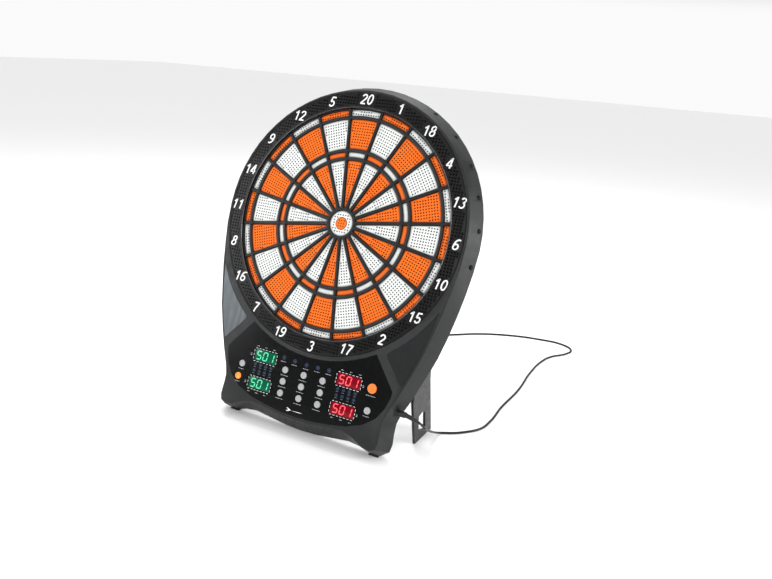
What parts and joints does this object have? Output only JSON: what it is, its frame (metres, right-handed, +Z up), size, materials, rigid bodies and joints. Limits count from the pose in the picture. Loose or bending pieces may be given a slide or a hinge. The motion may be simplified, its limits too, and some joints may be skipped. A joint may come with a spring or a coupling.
{
  "type": "electronic dartboard",
  "caption": "Free-standing electronic dartboard with pressable scoring beds, a control panel with displays and buttons, two fold-out legs and a corded mains adapter.",
  "frame": {"origin": "on the floor, under the centre of the board's box without the cord, its plug and the adapter", "axes": "+Z up, +Y backwards, away from the player, +X to the player's right; the board leans back 20 degrees on its legs"},
  "size_m": [0.4752, 0.6266, 0.4955],
  "materials": {
    "casing": "fine-grained matt moulding with soft sheen",
    "ring": "satin moulding pierced by a grid of small square holes",
    "spider": "matt moulding",
    "orange_key": "matt moulding pierced by a fine grid of holes",
    "white_key": "matt moulding pierced by a fine grid of holes",
    "overlay": "smooth printed film",
    "accent": "metallic rippled film",
    "grey_button": "satin moulding",
    "orange_button": "lit translucent moulding",
    "green_display": "lit green display",
    "red_display": "lit red display",
    "rubber": "matt",
    "foam": "closed-cell foam",
    "film": "printed polyester film",
    "circuit": "coated circuit board",
    "black_plastic": "fine-grained matt moulding",
    "steel": "plated",
    "cord": "smooth vinyl jacket"
  },
  "bodies": {
    "board": {"accent_left": "accent", "accent_right": "accent", "adapter": "black_plastic", "adapter_cord": "cord", "backing_mat": "foam", "button_mat": "rubber", "catch_ring": "ring", "cord_coil": "cord", "cover_screw_left": "steel", "cover_screw_right": "steel", "dc_jack": "black_plastic", "dc_plug": "black_plastic", "display_left": "green_display", "display_right": "red_display", "front_housing": "casing", "main_board": "circuit", "panel_overlay": "overlay", "rear_cover": "casing", "rubber_foot_left": "rubber", "rubber_foot_right": "rubber", "sensor_membrane": "film", "speaker": "black_plastic", "spider": "spider"},
    "leg_right": {"leg_right": "black_plastic"},
    "leg_left": {"leg_left": "black_plastic"},
    "bed_20": {"bed_20": "orange_key"},
    "bed_1": {"bed_1": "white_key"},
    "bed_18": {"bed_18": "orange_key"},
    "bed_4": {"bed_4": "white_key"},
    "bed_13": {"bed_13": "orange_key"},
    "bed_6": {"bed_6": "white_key"},
    "bed_10": {"bed_10": "orange_key"},
    "bed_15": {"bed_15": "white_key"},
    "bed_2": {"bed_2": "orange_key"},
    "bed_17": {"bed_17": "white_key"},
    "bed_3": {"bed_3": "orange_key"},
    "bed_19": {"bed_19": "white_key"},
    "bed_7": {"bed_7": "orange_key"},
    "bed_16": {"bed_16": "white_key"},
    "bed_8": {"bed_8": "orange_key"},
    "bed_11": {"bed_11": "white_key"},
    "bed_14": {"bed_14": "orange_key"},
    "bed_9": {"bed_9": "white_key"},
    "bed_12": {"bed_12": "orange_key"},
    "bed_5": {"bed_5": "white_key"},
    "bull_outer": {"bull_outer": "white_key"},
    "bull_inner": {"bull_inner": "orange_key"},
    "button_upper_left": {"button_upper_left": "grey_button"},
    "button_upper_centre": {"button_upper_centre": "grey_button"},
    "button_upper_right": {"button_upper_right": "grey_button"},
    "button_middle_left": {"button_middle_left": "grey_button"},
    "button_middle_centre": {"button_middle_centre": "grey_button"},
    "button_middle_right": {"button_middle_right": "grey_button"},
    "button_lower_left": {"button_lower_left": "grey_button"},
    "button_lower_centre": {"button_lower_centre": "grey_button"},
    "button_lower_right": {"button_lower_right": "grey_button"},
    "button_side_left": {"button_side_left": "grey_button"},
    "button_power": {"button_power": "orange_button"},
    "button_start": {"button_start": "orange_button"},
    "button_side_right": {"button_side_right": "grey_button"}
  },
  "joints": [
    {"name": "leg_right_fold", "type": "hinge", "parent": "board", "child": "leg_right", "pos_m": [0.157, -0.02011, 0.13294], "axis": [0, 0.342, 0.9397], "range_deg": [0, 90]},
    {"name": "leg_left_fold", "type": "hinge", "parent": "board", "child": "leg_left", "pos_m": [-0.157, -0.02011, 0.13294], "axis": [0, -0.342, -0.9397], "range_deg": [0, 90]},
    {"name": "bed_20_press", "type": "slide", "parent": "board", "child": "bed_20", "axis": [0, 0.9397, -0.342], "range_m": [0, 0.0012], "stiffness_N_per_m": 1500},
    {"name": "bed_1_press", "type": "slide", "parent": "board", "child": "bed_1", "axis": [0, 0.9397, -0.342], "range_m": [0, 0.0012], "stiffness_N_per_m": 1500},
    {"name": "bed_18_press", "type": "slide", "parent": "board", "child": "bed_18", "axis": [0, 0.9397, -0.342], "range_m": [0, 0.0012], "stiffness_N_per_m": 1500},
    {"name": "bed_4_press", "type": "slide", "parent": "board", "child": "bed_4", "axis": [0, 0.9397, -0.342], "range_m": [0, 0.0012], "stiffness_N_per_m": 1500},
    {"name": "bed_13_press", "type": "slide", "parent": "board", "child": "bed_13", "axis": [0, 0.9397, -0.342], "range_m": [0, 0.0012], "stiffness_N_per_m": 1500},
    {"name": "bed_6_press", "type": "slide", "parent": "board", "child": "bed_6", "axis": [0, 0.9397, -0.342], "range_m": [0, 0.0012], "stiffness_N_per_m": 1500},
    {"name": "bed_10_press", "type": "slide", "parent": "board", "child": "bed_10", "axis": [0, 0.9397, -0.342], "range_m": [0, 0.0012], "stiffness_N_per_m": 1500},
    {"name": "bed_15_press", "type": "slide", "parent": "board", "child": "bed_15", "axis": [0, 0.9397, -0.342], "range_m": [0, 0.0012], "stiffness_N_per_m": 1500},
    {"name": "bed_2_press", "type": "slide", "parent": "board", "child": "bed_2", "axis": [0, 0.9397, -0.342], "range_m": [0, 0.0012], "stiffness_N_per_m": 1500},
    {"name": "bed_17_press", "type": "slide", "parent": "board", "child": "bed_17", "axis": [0, 0.9397, -0.342], "range_m": [0, 0.0012], "stiffness_N_per_m": 1500},
    {"name": "bed_3_press", "type": "slide", "parent": "board", "child": "bed_3", "axis": [0, 0.9397, -0.342], "range_m": [0, 0.0012], "stiffness_N_per_m": 1500},
    {"name": "bed_19_press", "type": "slide", "parent": "board", "child": "bed_19", "axis": [0, 0.9397, -0.342], "range_m": [0, 0.0012], "stiffness_N_per_m": 1500},
    {"name": "bed_7_press", "type": "slide", "parent": "board", "child": "bed_7", "axis": [0, 0.9397, -0.342], "range_m": [0, 0.0012], "stiffness_N_per_m": 1500},
    {"name": "bed_16_press", "type": "slide", "parent": "board", "child": "bed_16", "axis": [0, 0.9397, -0.342], "range_m": [0, 0.0012], "stiffness_N_per_m": 1500},
    {"name": "bed_8_press", "type": "slide", "parent": "board", "child": "bed_8", "axis": [0, 0.9397, -0.342], "range_m": [0, 0.0012], "stiffness_N_per_m": 1500},
    {"name": "bed_11_press", "type": "slide", "parent": "board", "child": "bed_11", "axis": [0, 0.9397, -0.342], "range_m": [0, 0.0012], "stiffness_N_per_m": 1500},
    {"name": "bed_14_press", "type": "slide", "parent": "board", "child": "bed_14", "axis": [0, 0.9397, -0.342], "range_m": [0, 0.0012], "stiffness_N_per_m": 1500},
    {"name": "bed_9_press", "type": "slide", "parent": "board", "child": "bed_9", "axis": [0, 0.9397, -0.342], "range_m": [0, 0.0012], "stiffness_N_per_m": 1500},
    {"name": "bed_12_press", "type": "slide", "parent": "board", "child": "bed_12", "axis": [0, 0.9397, -0.342], "range_m": [0, 0.0012], "stiffness_N_per_m": 1500},
    {"name": "bed_5_press", "type": "slide", "parent": "board", "child": "bed_5", "axis": [0, 0.9397, -0.342], "range_m": [0, 0.0012], "stiffness_N_per_m": 1500},
    {"name": "bull_outer_press", "type": "slide", "parent": "board", "child": "bull_outer", "axis": [0, 0.9397, -0.342], "range_m": [0, 0.0012], "stiffness_N_per_m": 1500},
    {"name": "bull_inner_press", "type": "slide", "parent": "board", "child": "bull_inner", "axis": [0, 0.9397, -0.342], "range_m": [0, 0.0012], "stiffness_N_per_m": 1500},
    {"name": "button_upper_left_press", "type": "slide", "parent": "board", "child": "button_upper_left", "axis": [0, 0.9397, -0.342], "range_m": [0, 0.001], "stiffness_N_per_m": 400},
    {"name": "button_upper_centre_press", "type": "slide", "parent": "board", "child": "button_upper_centre", "axis": [0, 0.9397, -0.342], "range_m": [0, 0.001], "stiffness_N_per_m": 400},
    {"name": "button_upper_right_press", "type": "slide", "parent": "board", "child": "button_upper_right", "axis": [0, 0.9397, -0.342], "range_m": [0, 0.001], "stiffness_N_per_m": 400},
    {"name": "button_middle_left_press", "type": "slide", "parent": "board", "child": "button_middle_left", "axis": [0, 0.9397, -0.342], "range_m": [0, 0.001], "stiffness_N_per_m": 400},
    {"name": "button_middle_centre_press", "type": "slide", "parent": "board", "child": "button_middle_centre", "axis": [0, 0.9397, -0.342], "range_m": [0, 0.001], "stiffness_N_per_m": 400},
    {"name": "button_middle_right_press", "type": "slide", "parent": "board", "child": "button_middle_right", "axis": [0, 0.9397, -0.342], "range_m": [0, 0.001], "stiffness_N_per_m": 400},
    {"name": "button_lower_left_press", "type": "slide", "parent": "board", "child": "button_lower_left", "axis": [0, 0.9397, -0.342], "range_m": [0, 0.001], "stiffness_N_per_m": 400},
    {"name": "button_lower_centre_press", "type": "slide", "parent": "board", "child": "button_lower_centre", "axis": [0, 0.9397, -0.342], "range_m": [0, 0.001], "stiffness_N_per_m": 400},
    {"name": "button_lower_right_press", "type": "slide", "parent": "board", "child": "button_lower_right", "axis": [0, 0.9397, -0.342], "range_m": [0, 0.001], "stiffness_N_per_m": 400},
    {"name": "button_side_left_press", "type": "slide", "parent": "board", "child": "button_side_left", "axis": [0, 0.9397, -0.342], "range_m": [0, 0.001], "stiffness_N_per_m": 400},
    {"name": "button_power_press", "type": "slide", "parent": "board", "child": "button_power", "axis": [0, 0.9397, -0.342], "range_m": [0, 0.001], "stiffness_N_per_m": 400},
    {"name": "button_start_press", "type": "slide", "parent": "board", "child": "button_start", "axis": [0, 0.9397, -0.342], "range_m": [0, 0.001], "stiffness_N_per_m": 400},
    {"name": "button_side_right_press", "type": "slide", "parent": "board", "child": "button_side_right", "axis": [0, 0.9397, -0.342], "range_m": [0, 0.001], "stiffness_N_per_m": 400}
  ]
}
